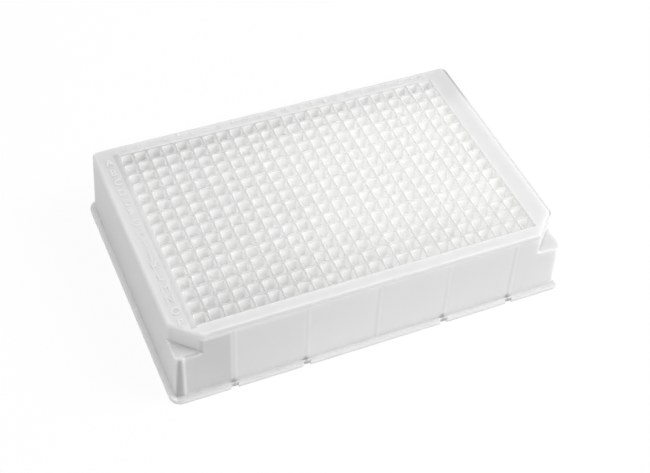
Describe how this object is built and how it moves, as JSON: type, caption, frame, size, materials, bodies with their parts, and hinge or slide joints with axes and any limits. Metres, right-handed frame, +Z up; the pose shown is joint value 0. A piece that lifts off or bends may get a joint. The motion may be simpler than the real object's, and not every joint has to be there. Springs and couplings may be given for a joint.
{
  "type": "deep-well microplate",
  "caption": "One-piece deep-well microplate on the standard footprint, with small tapering square wells, a leaning skirt, a foot flange and two cut corners above ledges.",
  "frame": {"origin": "middle of the flat underside that the plate stands on", "axes": "+X along the long side, +Y along the short side towards well row A, +Z up out of the wells"},
  "size_m": [0.1278, 0.0854, 0.0248],
  "materials": {
    "plate": "milky translucent natural polypropylene, satin as moulded"
  },
  "bodies": {
    "root": {"plate": "plate"}
  },
  "joints": []
}
